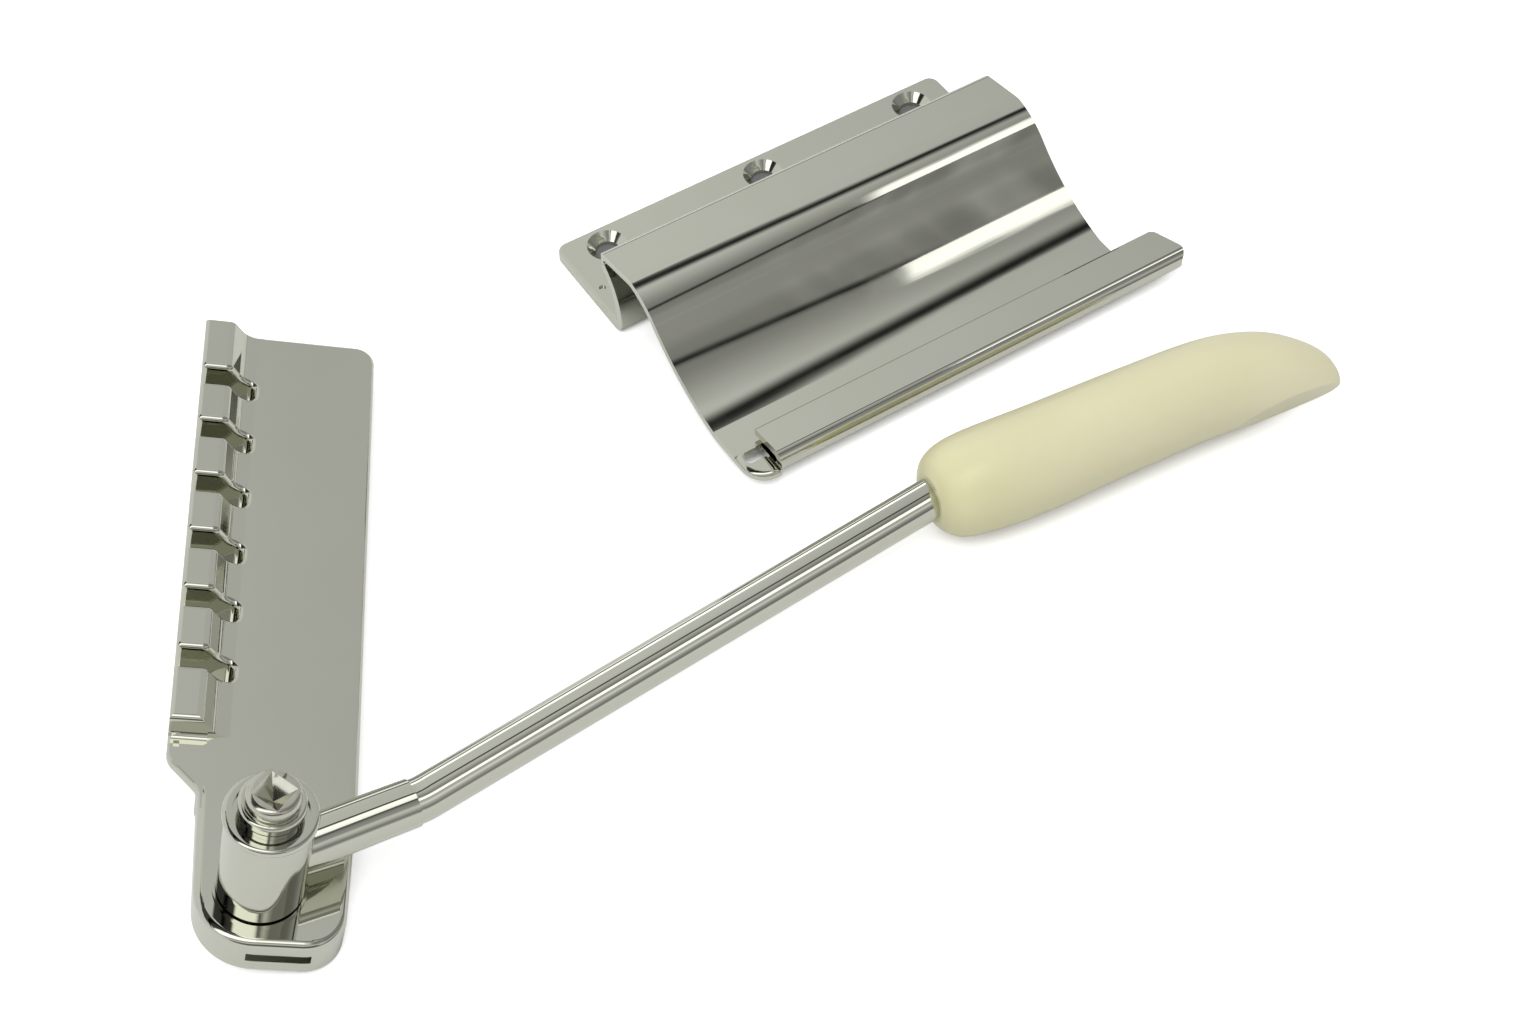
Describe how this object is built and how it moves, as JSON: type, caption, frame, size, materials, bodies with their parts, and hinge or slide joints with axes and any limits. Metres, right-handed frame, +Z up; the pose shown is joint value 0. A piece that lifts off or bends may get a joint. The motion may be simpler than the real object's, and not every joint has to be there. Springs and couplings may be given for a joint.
{
  "type": "guitar tremolo bridge",
  "caption": "Leaf-spring guitar tremolo laid out in two units: a bent spring on a screw-down base plate, and a slotted string holder with a pivoting bent arm and a moulded handle.",
  "frame": {"origin": "centre of the middle screw hole, on the underside of the base plate", "axes": "+X along the row of screw holes, towards the spring's tab; +Y back from the spring's front lip past the screws; +Z up"},
  "size_m": [0.1904, 0.1031, 0.0331],
  "materials": {
    "polished_nickel": "polished nickel plate",
    "spring_steel": "plain spring steel",
    "dark_fibre": "dark nylon",
    "cream_plastic": "cream moulding, soft gloss"
  },
  "bodies": {
    "base": {"base_plate": "polished_nickel", "string_holder": "polished_nickel", "pivot_stud": "polished_nickel", "lock_washer": "polished_nickel", "stud_nut": "polished_nickel", "base_washer": "polished_nickel", "friction_washer": "dark_fibre", "screw_collar": "polished_nickel", "pivot_screw": "polished_nickel"},
    "leaf": {"leaf_spring": "polished_nickel"},
    "arm": {"arm_barrel": "polished_nickel", "barrel_bush": "polished_nickel", "wave_washer": "spring_steel", "arm_sleeve": "polished_nickel", "arm_rod": "polished_nickel", "arm_tip": "cream_plastic"}
  },
  "joints": [
    {"name": "spring_flex", "type": "hinge", "parent": "base", "child": "leaf", "pos_m": [0, -0.0128, 0.01305], "axis": [-1, 0, 0], "range_deg": [0, 10], "stiffness_Nm_per_rad": 20},
    {"name": "arm_swing", "type": "hinge", "parent": "base", "child": "arm", "pos_m": [-0.13319, -0.08203, 0.00916], "axis": [0.1975, -0.1113, 0.974], "range_deg": [-206, 4]}
  ]
}
